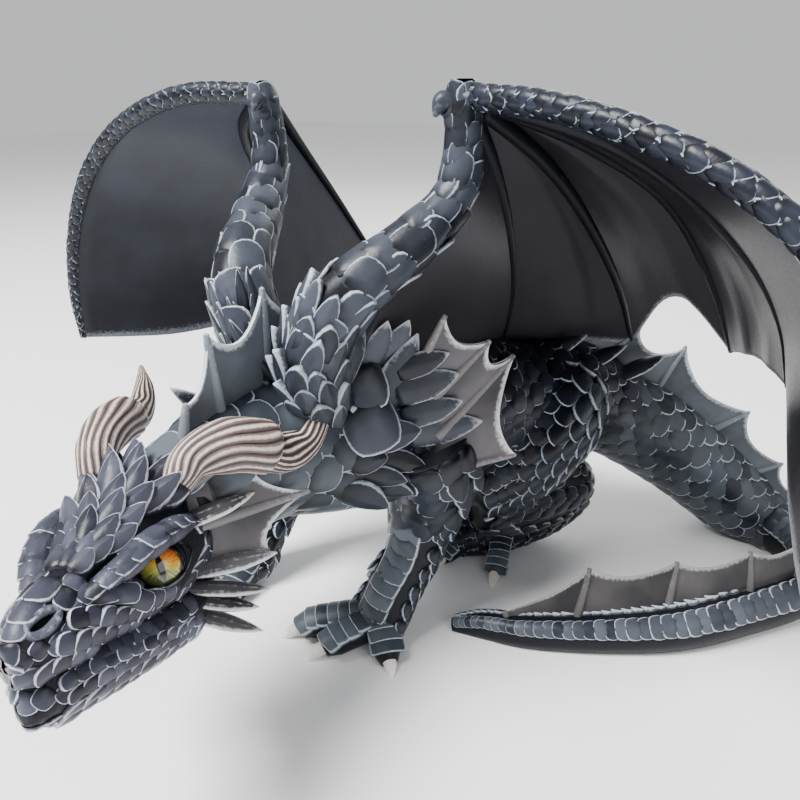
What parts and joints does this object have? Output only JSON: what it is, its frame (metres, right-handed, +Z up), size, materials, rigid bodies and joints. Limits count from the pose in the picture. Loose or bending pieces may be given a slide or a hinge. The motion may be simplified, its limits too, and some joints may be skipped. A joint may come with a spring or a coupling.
{
  "type": "dragon statue",
  "caption": "Cast dragon statue that crouches on four clawed feet with both wings raised, a curled tail lying on the ground and domed glass eyes",
  "frame": {"origin": "middle of the bounding box, on the ground under the statue", "axes": "+Z up, -Y the way the chest faces, +X the dragon's left"},
  "size_m": [0.3936, 0.3696, 0.2418],
  "materials": {
    "resin": "painted cast resin, charcoal blue with dry-brushed silver edges",
    "eye_glass": "polished domed glass, amber with a dark slit painted behind it"
  },
  "bodies": {
    "root": {"dragon": "resin", "eye_left": "eye_glass", "eye_right": "eye_glass"}
  },
  "joints": []
}
